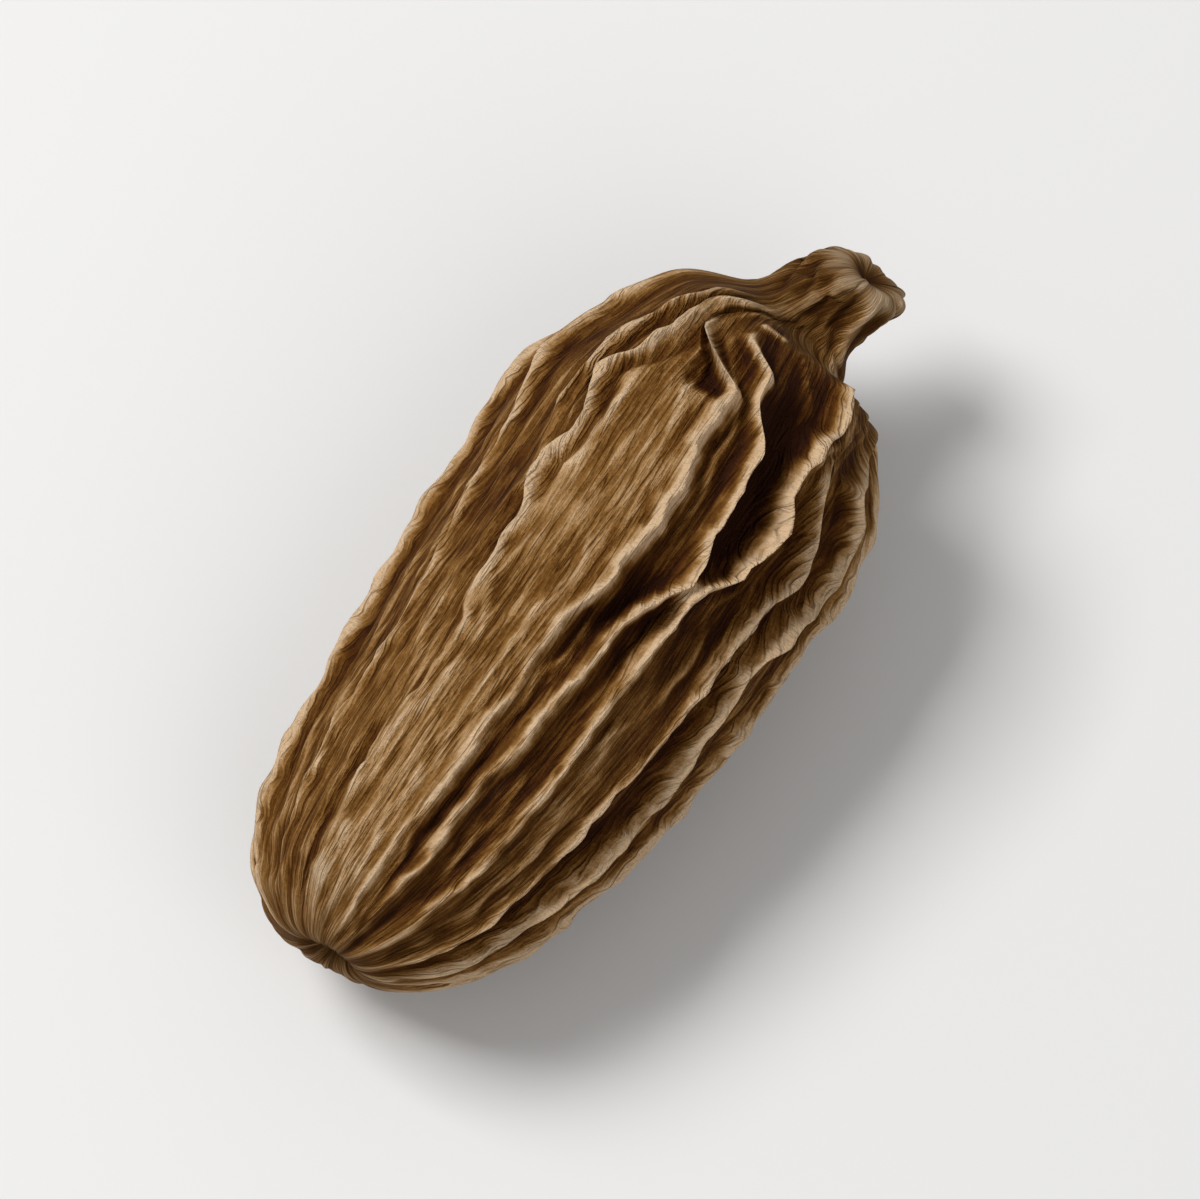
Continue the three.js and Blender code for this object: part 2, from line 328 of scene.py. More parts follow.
# %% The crests of the underside
UNDER_COUNT = CRESTS_ROUND - len(UPPER_CRESTS)
UNDER_FROM = 110
UNDER_TO = 250
UNDER_STATIONS = (-1, -5, -10, -15)
UNDER_SWAY = 9
UNDER_HEIGHT = (0.22, 0.46)
UNDER_FLOOR = (-0.3, 0.1)
UNDER_TONE = (-0.1, 0.1)
UNDER_DRAWS = {"crest": 10, "height": 5, "floor": 6, "tone": 7}


def between(limits, share):
    """The value at a share of the way from the first limit to the second."""
    return limits[0] + (limits[1] - limits[0]) * share


def under_crest(i):
    """A crest on the side that is out of sight, spaced by a rule and scattered a little."""
    angle = between((UNDER_FROM, UNDER_TO), i / (UNDER_COUNT - 1))
    draw = UNDER_DRAWS["crest"] * i
    return {
        "path": [
            (place, angle + UNDER_SWAY * (scatter(draw + n) - 0.5))
            for n, place in enumerate(UNDER_STATIONS)
        ],
        "height": [(-1, 0.1), (-5, between(UNDER_HEIGHT, scatter(draw + UNDER_DRAWS["height"])))],
        "floor": [(-8, between(UNDER_FLOOR, scatter(draw + UNDER_DRAWS["floor"])))],
        "tone": [(-8, between(UNDER_TONE, scatter(draw + UNDER_DRAWS["tone"])))],
    }


CRESTS = UPPER_CRESTS + [under_crest(i) for i in range(UNDER_COUNT)]
print("crests all round:", len(CRESTS))

# %% [markdown]
# ## The run of a crest
#
# A dried crest is never straight. It strays sideways in long waves, steps aside in small kinks, thickens
# and thins, and rises into knots. Each of those is a wave along the pod, and each crest starts its waves
# at a place of its own.

# %% Crest lines
LONG_MEANDER = {"wave": 6.7, "reach": 0.1}
SHORT_MEANDER = {"wave": 3.1, "reach": 0.03}
LEAST_GAP = math.radians(2.5)
KINK = {"wave": 3.3, "reach": 0.05, "sharpness": 2.4}
WANDER_PARTS = [(1.0, 1.0), (0.57, 0.7), (0.31, 0.5)]
WANDER_GAIN = 0.68
WANDER_DRAW = 0.1
DRAWS = {
    "long": 200,
    "short": 300,
    "kink": 350,
    "width": 400,
    "knot": 500,
    "frill": 600,
    "lean": 650,
    "rib": 700,
}


def slopes(places, values):
    """The slope at each station: the neighbours' slopes shared, or level where the value turns back."""
    steps = np.diff(values) / np.diff(places)
    before, after = steps[:-1], steps[1:]
    same_way = before * after > 0
    shared = 2 * before * after / np.where(same_way, before + after, 1)
    return np.concatenate([[0], np.where(same_way, shared, 0), [0]])


def along(stations, x):
    """A value given at stations from the neck to the stem, on a smooth line that never overshoots them."""
    places, values = np.array(stations, dtype=float).T
    if len(places) == 1:
        return np.full_like(x, values[0])
    x = np.clip(x, places[-1], places[0])
    i = np.clip(np.searchsorted(-places, -x, side="right") - 1, 0, len(places) - 2)
    width = places[i + 1] - places[i]
    share = (x - places[i]) / width
    slope = slopes(places, values)
    leave, arrive = slope[i] * width, slope[i + 1] * width
    cubic = 2 * values[i] - 2 * values[i + 1] + leave + arrive
    square = -3 * values[i] + 3 * values[i + 1] - 2 * leave - arrive
    return ((cubic * share + square) * share + leave) * share + values[i]


def meander(kind, draw):
    """How far a crest strays sideways at each ring."""
    return kind["reach"] * np.sin(2 * math.pi * (station / kind["wave"] + scatter(draw)))


def wander(wave, draw):
    """An irregular wave along the pod, from about -1 to 1, one value for each ring."""
    waves = [
        strength * np.sin(2 * math.pi * (station / (share * wave) + scatter(draw + WANDER_DRAW * n)))
        for n, (share, strength) in enumerate(WANDER_PARTS)
    ]
    return WANDER_GAIN * sum(waves)


def kinks(draw):
    """Small steps aside: a wave pressed flat, so that it stays at one side and crosses quickly."""
    return KINK["reach"] * np.tanh(KINK["sharpness"] * wander(KINK["wave"], draw))


def crest_angles():
    """Each crest's angle at each ring, in radians. Crests never cross. The first comes again last."""
    room = smoothstep(radius, NECK_RADIUS, BODY_RADIUS) / BODY_RADIUS
    angles = []
    for k, crest in enumerate(CRESTS):
        sideways = meander(LONG_MEANDER, DRAWS["long"] + k) + meander(SHORT_MEANDER, DRAWS["short"] + k)
        angle = np.radians(along(crest["path"], station)) + room * (sideways + kinks(DRAWS["kink"] + k))
        angles.append(np.maximum(angle, angles[-1] + LEAST_GAP) if angles else angle)
    return angles + [angles[0] + 2 * math.pi]


CREST_ANGLES = crest_angles()
belly_angles = [round(math.degrees(crest_angle[RINGS // 2, 0])) for crest_angle in CREST_ANGLES]
print("crests at the belly:", belly_angles, "degrees")

# %% [markdown]
# ## A crest across
#
# Cut across, a crest is a thin wall on a wider foot, with a shallow dip beside it, and it leans a little
# to one side. Its top edge is painted pale: partly a paler colour, partly a painted highlight where the top
# catches light. The edge is kept as a field of its own, for the finish.

# %% Crest walls
CREST_HALF_WIDTH = 0.15
FOOT_HALF_WIDTH = 0.5
FOOT_POWER = 1.6
WALL_SHARE = 0.74
FOOT_SHARE = 0.36
DIP = {"place": 0.42, "half_width": 0.14, "share": 0.24}
KNOT = {"wave": 4.1, "reach": 0.2}
THICKENING = {"wave": 3.7, "reach": 0.25}
FRILL = {"wave": 1.7, "reach": 0.04}
LEAN = 0.14
EDGE_HALF_WIDTH = 0.14
EDGE_HEIGHT = (0.05, 0.4)
PLAIN_BAND = [(0, 1)]


def crest_height(k):
    """A crest's height at each ring, with its knots."""
    knots = 1 + KNOT["reach"] * wander(KNOT["wave"], DRAWS["knot"] + k)
    return along(CRESTS[k]["height"], station) * knots


def crest_wall(k, distance):
    """A crest's relief at a distance from its line."""
    width = CREST_HALF_WIDTH * (1 + THICKENING["reach"] * wander(THICKENING["wave"], DRAWS["width"] + k))
    wall = np.exp(-((distance / width) ** 2))
    foot = np.exp(-((distance / FOOT_HALF_WIDTH) ** FOOT_POWER))
    dip = np.exp(-(((distance - DIP["place"]) / DIP["half_width"]) ** 2))
    return crest_height(k) * (WALL_SHARE * wall + FOOT_SHARE * foot - DIP["share"] * dip)


def crest_edge(k, distance):
    """How much of a crest's pale top, partly a painted highlight, there is at a distance from its line."""
    half_width = EDGE_HALF_WIDTH * along(CRESTS[k].get("band", PLAIN_BAND), station)
    return smoothstep(crest_height(k), *EDGE_HEIGHT) * np.exp(-((distance / half_width) ** 2))


def crest_sway(k, distance):
    """How far a crest leans and sways sideways. Its foot stays where it is."""
    lean = LEAN * (2 * scatter(DRAWS["lean"] + k) - 1)
    sway = lean + FRILL["reach"] * wander(FRILL["wave"], DRAWS["frill"] + k)
    return sway * np.exp(-((distance / FOOT_HALF_WIDTH) ** 2))


print("highest crest:", round(max(crest_height(k).max() for k in range(CRESTS_ROUND)), 2), "mm")

# %% [markdown]
# ## The husk between two crests
#
# A strip of husk runs from one crest to the next. Its floor swells or sinks, and low ribs run along it.
# The strips are worked out one by one and laid side by side.

# %% Strips of husk
RIB_SPACING = 0.46
RIB_HEIGHT = (0.06, 0.14)
RIB_HALF_WIDTH = (0.09, 0.14)
RIB_STRAY = 0.3
RIB_WAVE = 7.5
RIB_SHOWN = (-0.6, 0.5)
# Rib tops get the pale edge too, partly a painted highlight.
RIB_EDGE = 2.2
RIB_DRAWS = {"strip": 20, "shown": 0.5, "width": 0.2, "height": 0.3}
CROWD_AT_CREST = 0.07
SHORT_FOLD = {"station": -2.0, "half_width": 0.12, "angles": (-7, 9), "ease": 4, "height": 0.22}


def ribs(k, share, gap):
    """Low ribs along a strip. Each fades in and out along the pod."""
    count = max(1, round(float(np.median(gap)) / RIB_SPACING) - 1)
    total = np.zeros_like(gap * share)
    for j in range(count):
        draw = DRAWS["rib"] + RIB_DRAWS["strip"] * k + j
        stray = RIB_STRAY * (wander(RIB_WAVE, draw) + 2 * scatter(draw) - 1)
        place = (j + 1 + stray) / (count + 1)
        shown = smoothstep(wander(RIB_WAVE, draw + RIB_DRAWS["shown"]), *RIB_SHOWN)
        half_width = between(RIB_HALF_WIDTH, scatter(draw + RIB_DRAWS["width"]))
        height = between(RIB_HEIGHT, scatter(draw + RIB_DRAWS["height"]))
        total += height * shown * np.exp(-(((share - place) * gap / half_width) ** 2))
    return total


def short_fold(angle):
    """A short fold that crosses the husk under the beak."""
    first, last = SHORT_FOLD["angles"]
    degrees = np.degrees(angle)
    across = smoothstep(degrees, first, first + SHORT_FOLD["ease"])
    across = across * (1 - smoothstep(degrees, last - SHORT_FOLD["ease"], last))
    return across * np.exp(-(((station - SHORT_FOLD["station"]) / SHORT_FOLD["half_width"]) ** 2))


def strip(k):
    """Angle, relief, tone and pale edge (part painted highlight) of the strip from crest k to the next."""
    even = np.arange(COLUMNS_PER_CREST)[None, :] / COLUMNS_PER_CREST
    share = even - CROWD_AT_CREST * np.sin(2 * math.pi * even)
    start, end = CREST_ANGLES[k], CREST_ANGLES[k + 1]
    gap = radius * (end - start)
    here, there = share * gap, (1 - share) * gap
    following = (k + 1) % CRESTS_ROUND
    sway = crest_sway(k, here) + crest_sway(following, there)
    angle = start + (end - start) * share + sway / np.maximum(radius, NECK_RADIUS)
    floor = along(CRESTS[k]["floor"], station) * 4 * share * (1 - share)
    rib_relief = ribs(k, share, gap)
    relief = crest_wall(k, here) + crest_wall(following, there) + floor + rib_relief
    edge = np.maximum(crest_edge(k, here), crest_edge(following, there))
    edge = np.maximum(edge, RIB_EDGE * rib_relief)
    mark = short_fold(angle)
    relief = relief + SHORT_FOLD["height"] * mark
    strip_tone = np.broadcast_to(along(CRESTS[k]["tone"], station), relief.shape)
    return angle, relief, strip_tone, np.maximum(edge, mark)


strips = [strip(k) for k in range(CRESTS_ROUND)]
angle, relief, tone, edge = (np.concatenate(layers, axis=1) for layers in zip(*strips))
print("relief from", round(relief.min(), 2), "to", round(relief.max(), 2), "mm")

# %% [markdown]
# ## Puckers
#
# Close up, the husk is also puckered: short cross folds and shallow dents where it shrank unevenly. They
# could be painted with a sculpting brush. Smooth noise does the same here. It is read from a map that
# goes along the pod and round it, so the folds follow the husk and have no seam.

# %% Cross folds and dents
DENT = {"depth": 0.1, "waves": (0.28, 0.42, 0.42)}
FOLD = {"depth": 0.045, "waves": (1.5, 0.9, 0.9)}
CREASE = {"depth": 0.035, "waves": (0.5, 2.6, 2.6)}
DRAW_SHIFT = 31.7

along_pod = np.broadcast_to(station, angle.shape)
grain = np.stack([along_pod, BODY_RADIUS * np.cos(angle), BODY_RADIUS * np.sin(angle)], axis=-1)


def husk_noise(waves, draw):
    """Smooth noise over the husk, from about -1 to 1. The waves are given for each millimetre."""
    places = grain.reshape(-1, 3) * np.array(waves) + DRAW_SHIFT * draw
    return np.array([noise.noise(place) for place in places.tolist()]).reshape(angle.shape)


for draw, kind in enumerate((DENT, FOLD, CREASE)):
    relief += kind["depth"] * husk_noise(kind["waves"], draw + 1)
print("relief with puckers from", round(relief.min(), 2), "to", round(relief.max(), 2), "mm")

# %% [markdown]
# ## The beak and the scar
#
# The beak is a twisted stub with a torn, uneven lip round a small hollow. The scar is a sunken, rough pit
# with folds that run into it. The crests shrink towards both ends, as the solid's do, and finer folds
# take their place.

# %% Ends of the pod
RELIEF_FULL_RADIUS = 3
RELIEF_ON_BEAK = 0.25
VALVES = 3
VALVE_SWELL = 0.025
BEAK_FOLDS = 9
BEAK_FOLD_DEPTH = 0.07
BEAK_TWIST = 0.5
LIP_TEAR = 0.16
SCAR_FOLDS = 15
SCAR_FOLD_DEPTH = 0.1
END_NOISE = (1.2, 0.8, 0.8)
END_DRAW = 7
BEAK_STIR = 3
SCAR_STIR = 4
BEAK_STATIONS = (-1.2, 0.4)
SCAR_STATIONS = (BODY_LENGTH - 3, BODY_LENGTH - 0.6)
LIP_STATIONS = (TIP - 0.9, TIP - 0.2)
# Inside these radii the folds and tears have died out
BEAK_POLE = 0.1
POLE = 0.2
WEB = {
    "angle": math.radians(90),
    "angle_spread": math.radians(45),
    "station": -0.4,
    "spread": 0.85,
    "height": 0.85,
}


def web(angle, x):
    """How far the web of husk in the beak's bend stands out at an angle and a station."""
    aside = (angle - WEB["angle"]) / WEB["angle_spread"]
    away = (x - WEB["station"]) / WEB["spread"]
    return WEB["height"] * np.exp(-(aside**2) - away**2)


on_end = RELIEF_ON_BEAK * smoothstep(radius, 0, SCAR_RADIUS)
fade = on_end + (1 - on_end) * smoothstep(radius, NECK_RADIUS, RELIEF_FULL_RADIUS)
valves = VALVE_SWELL * np.cos(VALVES * angle) * smoothstep(radius, NECK_RADIUS, BODY_RADIUS)
rough = husk_noise(END_NOISE, END_DRAW)

on_beak = smoothstep(station, *BEAK_STATIONS) * smoothstep(radius, BEAK_POLE, NECK_RADIUS)
beak_folds = np.cos(BEAK_FOLDS * (angle + BEAK_TWIST * station) + BEAK_STIR * rough) * BEAK_FOLD_DEPTH
near_scar = smoothstep(-station, *SCAR_STATIONS) * smoothstep(radius, POLE, SCAR_RADIUS)
scar_folds = np.cos(SCAR_FOLDS * angle + SCAR_STIR * rough) * SCAR_FOLD_DEPTH
relief = relief * fade + on_beak * beak_folds + near_scar * scar_folds
reach = radius * (1 + valves) + relief + web(angle, station) * smoothstep(radius, 0, NECK_RADIUS)

on_lip = smoothstep(station, *LIP_STATIONS)
torn = station + on_lip * LIP_TEAR * rough * smoothstep(radius, POLE, LIP_RADIUS)
torn = torn + TIP_SLANT * reach * np.sin(angle - SLANT_TURN) * smoothstep(station, 0, TIP)
straight = np.stack(
    [torn, -reach * np.sin(angle), HEIGHT_OVER_WIDTH * reach * np.cos(angle)], axis=-1
)
print("widest reach:", round(reach.max(), 2), "mm")

# %% [markdown]
# ## The colour of the ends
#
# The beak is darker than the body, with a tan rim round its hollow. The hollow in the tip and the
# scar's pit are painted dark, as painted shade.

# %% Tones of the ends
BEAK_TONE = -0.08
RIM_TONE = 0.5
# Painted shade in the tip's hollow and in the scar's pit.
HOLLOW_SHADE = -0.35
EDGE_ON_BEAK = 0.7
RIM_STATIONS = (TIP - 0.55, TIP - 0.25)
RIM_RADII = (0.4 * LIP_RADIUS, 0.6 * LIP_RADIUS)
HOLLOW_RADII = (0.1 * LIP_RADIUS, 0.4 * LIP_RADIUS)
PIT_RADII = (0.3 * SCAR_RADIUS, 1.3 * SCAR_RADIUS)

on_rim = smoothstep(station, *RIM_STATIONS) * smoothstep(radius, *RIM_RADII)
in_tip = smoothstep(station, 0, TIP) * (1 - smoothstep(radius, *HOLLOW_RADII))
in_scar = smoothstep(-station, 0, BODY_LENGTH) * (1 - smoothstep(radius, *PIT_RADII))
on_ends = smoothstep(radius, NECK_RADIUS, RELIEF_FULL_RADIUS)
tone = tone * on_ends + BEAK_TONE * on_beak + RIM_TONE * on_rim + HOLLOW_SHADE * (in_tip + in_scar)
edge = edge * (EDGE_ON_BEAK + (1 - EDGE_ON_BEAK) * on_ends)
print("tone from", round(tone.min(), 2), "to", round(tone.max(), 2))

# %% [markdown]
# ## Bend it
#
# The real pod is a little bowed, and its beak bends to one side and up. A ready-made bend needs a window,
# so the rings are carried round the bend in code, along a spine of short steps.

# %% Bend
BODY_BOW = 1.9
BEAK_BEND = math.radians(40)
BEND_RISE = math.radians(30)
BEND_FROM = -2.4
BEND_TO = 0.7
SPINE_STEPS = 24


def turn(points, axes, angle):
    """Turns points in the plane of two axes, from the first axis towards the second."""
    first, second = axes
    turned = points.copy()
    turned[..., first] = points[..., first] * math.cos(angle) - points[..., second] * math.sin(angle)
    turned[..., second] = points[..., first] * math.sin(angle) + points[..., second] * math.cos(angle)
    return turned


def beak_turn(x):
    """How far the beak has turned at a place along the pod."""
    return BEAK_BEND * smoothstep(x, BEND_FROM, BEND_TO)


def bend(points):
    """Bows the stem end and carries the points round the bend of the beak."""
    points = points.copy()
    points[..., 1] += BODY_BOW * (np.minimum(points[..., 0], 0) / BODY_LENGTH) ** 2
    points = turn(points, (1, 2), BEND_RISE)
    x, y = points[..., 0].copy(), points[..., 1].copy()
    step = np.maximum(x - BEND_FROM, 0) / SPINE_STEPS
    spine_x, spine_y = np.minimum(x, BEND_FROM), np.zeros_like(x)
    for i in range(SPINE_STEPS):
        bent = beak_turn(BEND_FROM + (i + 0.5) * step)
        spine_x += step * np.cos(bent)
        spine_y -= step * np.sin(bent)
    points[..., 0] = spine_x + y * np.sin(beak_turn(x))
    points[..., 1] = spine_y + y * np.cos(beak_turn(x))
    return turn(points, (1, 2), -BEND_RISE)


bent_pod = bend(straight)
print("bent pod's length:", round(np.ptp(bent_pod[..., 0]), 2), "mm")

# %% [markdown]
# ## Lay it down
#
# A loose pod comes to rest on its side. It could be dropped and left to settle, but it must lie as the
# solid does. So it is rolled and tilted by the same angles, its lowest part is pressed flat, and it goes
# where the solid is.

# %% Lay down
ROLL = math.radians(10)
BEAK_LIFT = math.radians(3)
FLAT_DEPTH = 0.5

lying = turn(bent_pod, (1, 2), ROLL)
lying = turn(lying, (0, 2), BEAK_LIFT)
flat_level = lying[..., 2].min() + FLAT_DEPTH
lying[..., 2] = np.maximum(lying[..., 2], flat_level) - flat_level
solid_low, solid_high = (np.array(corner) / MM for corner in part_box("pod"))
for axis in (0, 1):
    middle = (lying[..., axis].min() + lying[..., axis].max()) / 2
    lying[..., axis] += (solid_low[axis] + solid_high[axis]) / 2 - middle

places = lying[ring_of, column_of] * MM
husk.data.vertices.foreach_set("co", places.ravel())
husk.data.update()
bpy.ops.object.select_all(action="DESELECT")
husk.select_set(True)
bpy.context.view_layer.objects.active = husk
bpy.ops.object.shade_smooth()
print("husk's size:", np.round(np.ptp(places, axis=0) / MM, 2), "mm, triangles", 2 * COLUMNS * (RINGS - 1))

# %% [markdown]
# ## What the finish needs to know
#
# Here colour follows shape. Crest tops are painted pale, partly as their own tan and partly as a painted
# highlight, and hollows and the dips beside crests are painted nearly black as painted shade. So the mesh
# keeps four values at each vertex: how far it stands above the husk around it, which carries that painted
# light and shade, the tone of its strip, how near it is to a pale crest edge, and its place on the map
# along and round the pod, for the fibres.

# %% Values on the mesh
RISE_RINGS = 6
RISE_COLUMNS = 8
TONE_COLUMNS = 6
# How much sunken husk is darkened further, as painted shade.
DEEP_SHADE = 0.07


def soften(field, rings, columns):
    """Blurs a field over the husk. It goes round in columns and stops at the two ends."""
    last = field.shape[0] - 1
    for axis, width in ((0, rings), (1, columns)):
        total = np.zeros_like(field)
        for step in range(-width, width + 1):
            if axis == 0:
                moved = field[np.clip(np.arange(last + 1) + step, 0, last)]
            else:
                moved = np.roll(field, step, axis=1)
            total += (width + 1 - abs(step)) * moved
        field = total / (width + 1) ** 2
    return field


def keep(name, kind, field):
    """Stores a field on the husk's vertices under a name that the finish can read."""
    values = field[ring_of, column_of]
    attribute = husk.data.attributes.new(name, kind, "POINT")
    attribute.data.foreach_set("vector" if kind == "FLOAT_VECTOR" else "value", values.ravel())


# Painted light and shade: high on crest tops, low in hollows and in the dips beside crests.
rise = relief - soften(relief, RISE_RINGS, RISE_COLUMNS) + DEEP_SHADE * np.minimum(relief, 0)
keep("rise", "FLOAT", rise)
keep("tone", "FLOAT", soften(tone, RISE_RINGS, TONE_COLUMNS))
keep("edge", "FLOAT", edge)
keep("grain", "FLOAT_VECTOR", grain)
print("rise from", round(rise.min(), 2), "to", round(rise.max(), 2), "mm")

# %% [markdown]
# ## Writing a finish
#
# A finish is a tree of nodes. Two small helpers keep it readable. The first wraps a socket, so that sums
# can be written as sums. The second adds any other node from its type, its settings and its sockets.

# %% Helpers for finishes


def plug(tree, value, socket):
    """Links a wire to a socket, or sets a plain value on it."""
    if isinstance(value, Wire):
        tree.links.new(value.socket, socket)
    else:
        socket.default_value = value


class Wire:
    """A socket that sums can be written with. Each sum adds a Math node."""

    def __init__(self, tree, socket):
        self.tree = tree
        self.socket = socket

    def math(self, operation, first, second):
        node = self.tree.nodes.new("ShaderNodeMath")
        node.operation = operation
        plug(self.tree, first, node.inputs[0])
        plug(self.tree, second, node.inputs[1])
        return Wire(self.tree, node.outputs[0])

    def __add__(self, other):
        return self.math("ADD", self, other)

    def __sub__(self, other):
        return self.math("SUBTRACT", self, other)

    def __rsub__(self, other):
        return self.math("SUBTRACT", other, self)

    def __mul__(self, other):
        return self.math("MULTIPLY", self, other)

    def __abs__(self):
        return self.math("ABSOLUTE", self, 0)

    def at_least(self, other):
        return self.math("MAXIMUM", self, other)

    __radd__ = __add__
    __rmul__ = __mul__


class Finish:
    """A material, with one method that adds any node to it."""

    def __init__(self, name):
        self.material = bpy.data.materials.new(name)
        self.material.use_nodes = True
        self.tree = self.material.node_tree
        self.tree.nodes.clear()

    def node(self, kind, settings, sockets, output):
        node = self.tree.nodes.new(kind)
        for name, value in settings.items():
            if name == "stops":
                self.set_stops(node.color_ramp, value)
            else:
                setattr(node, name, value)
        for name, value in sockets.items():
            plug(self.tree, value, node.inputs[name])
        return Wire(self.tree, node.outputs[output]) if node.outputs else None

    def set_stops(self, ramp, stops):
        while len(ramp.elements) < len(stops):
            ramp.elements.new(0.5)
        for element, (place, colour) in zip(ramp.elements, stops):
            element.position = place
            element.color = (*colour, 1)

    def surface(self, shader):
        self.node("ShaderNodeOutputMaterial", {}, {"Surface": shader}, None)


print("finish helpers ready")

# %% [markdown]
# ## The husk's finish
#
# The husk is dull and fibrous. One level decides its colour: it goes up on crests and paler strips, down
# in hollows, and streaks of fibre along the pod stir it. Up on crests and down in hollows is painted
# light and shade, with the crest tops also a paler colour. A ramp turns the level into colour, from nearly
# black through brown and gold to tan. The fibres also give the fine bump and a slightly uneven gloss.

# %% The husk
HUSK_COLOURS = [
    (0.0, (0.036, 0.010, 0.003)),
    (0.2, (0.078, 0.024, 0.003)),
    (0.4, (0.140, 0.056, 0.009)),
    (0.58, (0.262, 0.124, 0.032)),
    (0.78, (0.450, 0.265, 0.118)),
    (1.0, (0.650, 0.455, 0.275)),
]
FIBRES = {
    "streak": {"waves": (0.28, 2.9, 2.9), "detail": 3.0, "level": 0.25, "bump": 0.36},
    "fibre": {"waves": (0.8, 9.0, 9.0), "detail": 3.0, "level": 0.26, "bump": 0.6},
    "patch": {"waves": (0.3, 0.4, 0.4), "detail": 2.0, "level": 0.12, "bump": 0.0},
    "dust": {"waves": (9.0, 9.0, 9.0), "detail": 2.0, "level": 0.06, "bump": 0.3},
}
FIBRE_RANGE = (0.33, 0.67)
NOISE_ROUGHNESS = 0.6
NOISE_MIDDLE = 0.5
CRACK = {"waves": (0.3, 3.4, 3.4), "detail": 2.0, "thinness": 26.0, "level": -0.15, "bump": -0.6}
MIDDLE_LEVEL = 0.47
# Painted light and shade: the level goes up on crest tops and down in hollows and beside crests.
LEVEL_PER_RISE = 1.9
# Pale crest tops: partly a paler colour, partly a painted highlight.
LEVEL_ON_EDGE = 0.48
BUMP = {"strength": 0.8, "distance": 0.00016}
ROUGHNESS = {"middle": 0.8, "fibre": -0.25, "patch": 0.1}
GLOSS = 0.08


def make_husk_finish():
    """The husk's material."""
    finish = Finish("dried_husk")

    def field(name, output):
        return finish.node("ShaderNodeAttribute", {"attribute_name": name}, {}, output)

    def cloud(waves, detail):
        scaled = finish.node("ShaderNodeVectorMath", {"operation": "MULTIPLY"}, {0: place, 1: waves}, 0)
        sockets = {"Vector": scaled, "Scale": 1.0, "Detail": detail, "Roughness": NOISE_ROUGHNESS}
        return finish.node("ShaderNodeTexNoise", {}, sockets, "Fac")

    def fibres(waves, detail):
        ends = {"From Min": FIBRE_RANGE[0], "From Max": FIBRE_RANGE[1], "To Min": -0.5, "To Max": 0.5}
        sockets = {"Value": cloud(waves, detail), **ends}
        return finish.node("ShaderNodeMapRange", {"interpolation_type": "SMOOTHSTEP"}, sockets, "Result")

    place = field("grain", "Vector")
    made = {name: fibres(kind["waves"], kind["detail"]) for name, kind in FIBRES.items()}
    # Rise and edge paint light on crest tops and shade in hollows; deep strips' tone is painted shade too.
    level = MIDDLE_LEVEL + field("rise", "Fac") * LEVEL_PER_RISE + field("tone", "Fac")
    off_middle = abs(cloud(CRACK["waves"], CRACK["detail"]) - NOISE_MIDDLE)
    crack = (1 - off_middle * CRACK["thinness"]).at_least(0)
    level = level + field("edge", "Fac") * LEVEL_ON_EDGE + crack * CRACK["level"]
    height = made["fibre"] * FIBRES["fibre"]["bump"] + crack * CRACK["bump"]
    for name, kind in FIBRES.items():
        level = level + made[name] * kind["level"]
    for name in ("streak", "dust"):
        height = height + made[name] * FIBRES[name]["bump"]
    colour = finish.node("ShaderNodeValToRGB", {"stops": HUSK_COLOURS}, {"Fac": level}, "Color")
    bump_sockets = {"Height": height, "Strength": BUMP["strength"], "Distance": BUMP["distance"]}
    bump = finish.node("ShaderNodeBump", {}, bump_sockets, "Normal")
    roughness = ROUGHNESS["middle"] + made["fibre"] * ROUGHNESS["fibre"]
    roughness = roughness + made["patch"] * ROUGHNESS["patch"]
    shader = finish.node(
        "ShaderNodeBsdfPrincipled",
        {},
        {"Base Color": colour, "Roughness": roughness, "Specular IOR Level": GLOSS, "Normal": bump},
        "BSDF",
    )
    finish.surface(shader)
    return finish.material


husk.data.materials.append(make_husk_finish())
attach(husk, "root")
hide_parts("pod")
print("finish:", husk.data.materials[0].name, "with", len(husk.data.materials[0].node_tree.nodes), "nodes")

# %% [markdown]
# ## Floor
#
# The pod lies on a plain pale floor, like a sheet of paper. One large square is enough, because the frame
# never reaches its edge.

# %% Floor
FLOOR_SIZE = 1.2
PAPER = (0.8, 0.795, 0.785, 1)
PAPER_ROUGHNESS = {"least": 0.8, "speckle": 0.1}
SPECKLE_SCALE = 900.0

bpy.ops.object.select_all(action="DESELECT")
bpy.ops.mesh.primitive_plane_add(size=FLOOR_SIZE, location=(0, 0, 0))
floor = bpy.context.object
floor.name = "floor"
paper = Finish("pale_paper")
speckle = paper.node("ShaderNodeTexNoise", {}, {"Scale": SPECKLE_SCALE, "Detail": 2.0}, "Fac")
paper_roughness = PAPER_ROUGHNESS["least"] + speckle * PAPER_ROUGHNESS["speckle"]
paper_sockets = {"Base Color": PAPER, "Roughness": paper_roughness}
paper_shader = paper.node("ShaderNodeBsdfPrincipled", {}, paper_sockets, "BSDF")
paper.surface(paper_shader)
floor.data.materials.append(paper.material)
floor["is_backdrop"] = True
print("floor:", FLOOR_SIZE, "m across")

# %% [markdown]
# ## Camera
#
# A small thing is best taken with a long lens from some way off, which keeps its shape true. The camera
# looks down on the pod, along the line on which the pod shows its upper side and its beak.

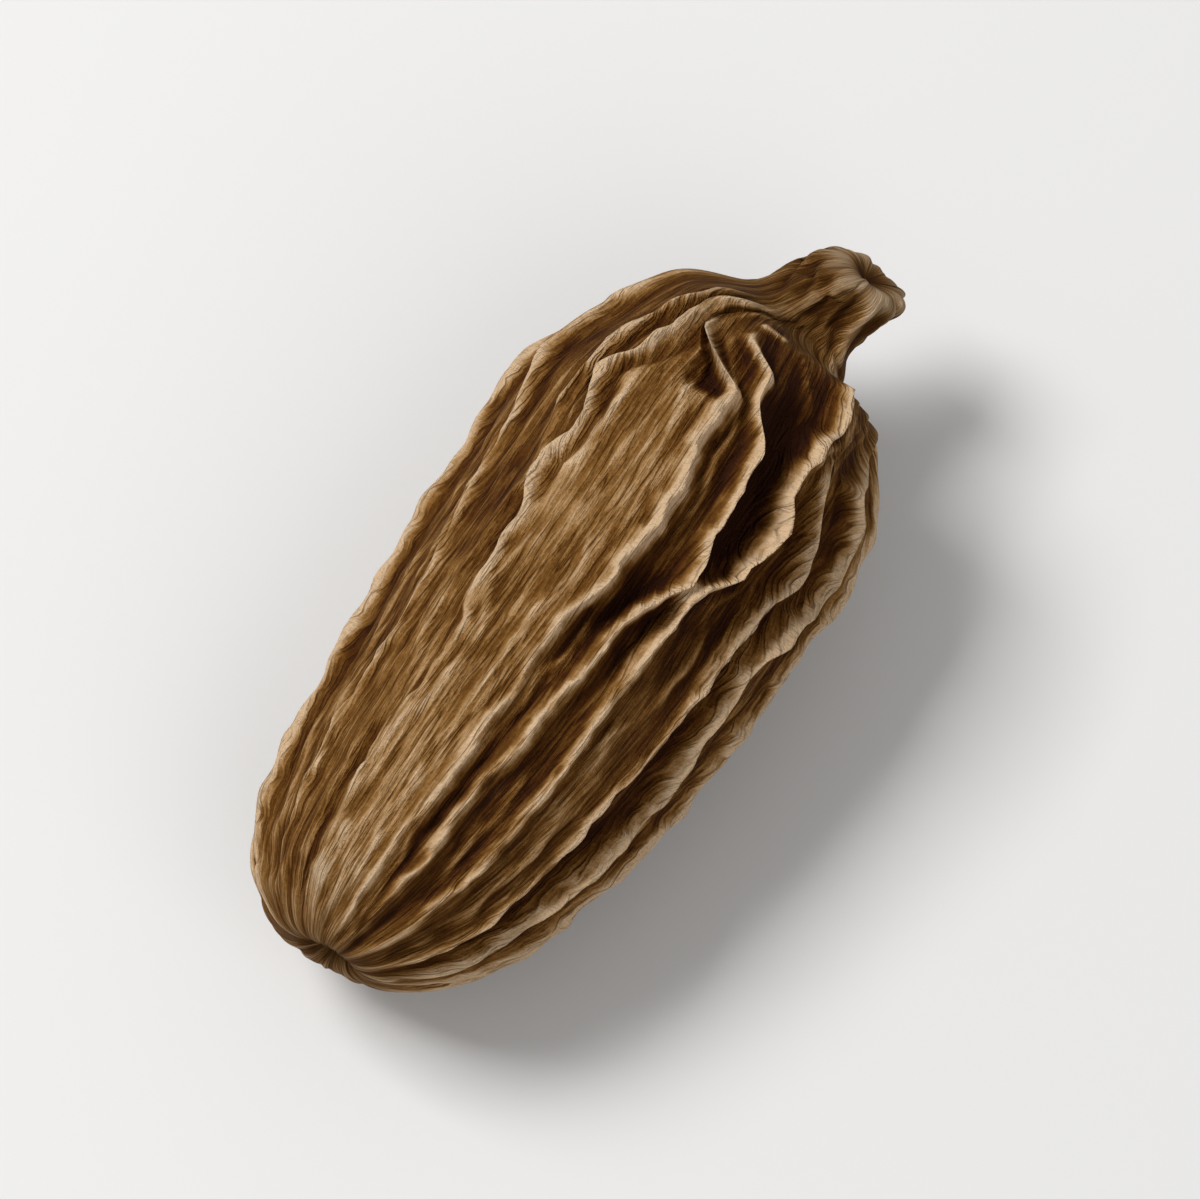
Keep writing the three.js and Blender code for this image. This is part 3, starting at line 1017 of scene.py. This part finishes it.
# %% Camera
AZIMUTH = math.radians(-61)
ELEVATION = math.radians(70)
DISTANCE = 0.33
FRAME_WIDTH = 0.031
SENSOR = 36.0


def heading(azimuth, elevation):
    """The way from the pod to the camera. Azimuth 0 looks along +Y."""
    level_part = math.cos(elevation)
    return Vector((math.sin(azimuth) * level_part, -math.cos(azimuth) * level_part, math.sin(elevation)))


low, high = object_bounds()
target = (low + high) / 2
to_camera = heading(AZIMUTH, ELEVATION)
bpy.ops.object.camera_add(location=target + DISTANCE * to_camera)
camera = bpy.context.object
camera.rotation_euler = (-to_camera).to_track_quat("-Z", "Y").to_euler()
camera.data.sensor_width = SENSOR
camera.data.lens = SENSOR * DISTANCE / FRAME_WIDTH
bpy.context.scene.camera = camera
print("camera:", round(camera.data.lens), "mm lens at", DISTANCE, "m")

# %% [markdown]
# ## Light
#
# The light is soft, as from a window on the left, with a weak fill and a dim even sky. A low fill is
# chosen so that the right flank and the hollows go dark and the crests stand out.

# %% Lights
LAMPS = [
    {"name": "window", "azimuth": 185, "elevation": 55, "distance": 0.34, "size": 0.14, "power": 0.95},
    {"name": "fill", "azimuth": -30, "elevation": 45, "distance": 0.4, "size": 0.3, "power": 0.3},
]
SKY = 0.32


def add_lamp(lamp):
    """Adds a square lamp that faces the pod."""
    away = heading(math.radians(lamp["azimuth"]), math.radians(lamp["elevation"]))
    bpy.ops.object.light_add(type="AREA", location=target + lamp["distance"] * away)
    light = bpy.context.object
    light.name = lamp["name"]
    light.rotation_euler = (-away).to_track_quat("-Z", "Y").to_euler()
    light.data.size = lamp["size"]
    light.data.energy = lamp["power"]


for lamp in LAMPS:
    add_lamp(lamp)
world = bpy.data.worlds.new("studio")
world.use_nodes = True
world.node_tree.nodes["Background"].inputs["Color"].default_value = (1, 1, 1, 1)
world.node_tree.nodes["Background"].inputs["Strength"].default_value = SKY
bpy.context.scene.world = world
bpy.context.scene.view_settings.view_transform = "Standard"
print("lamps:", [lamp["name"] for lamp in LAMPS])
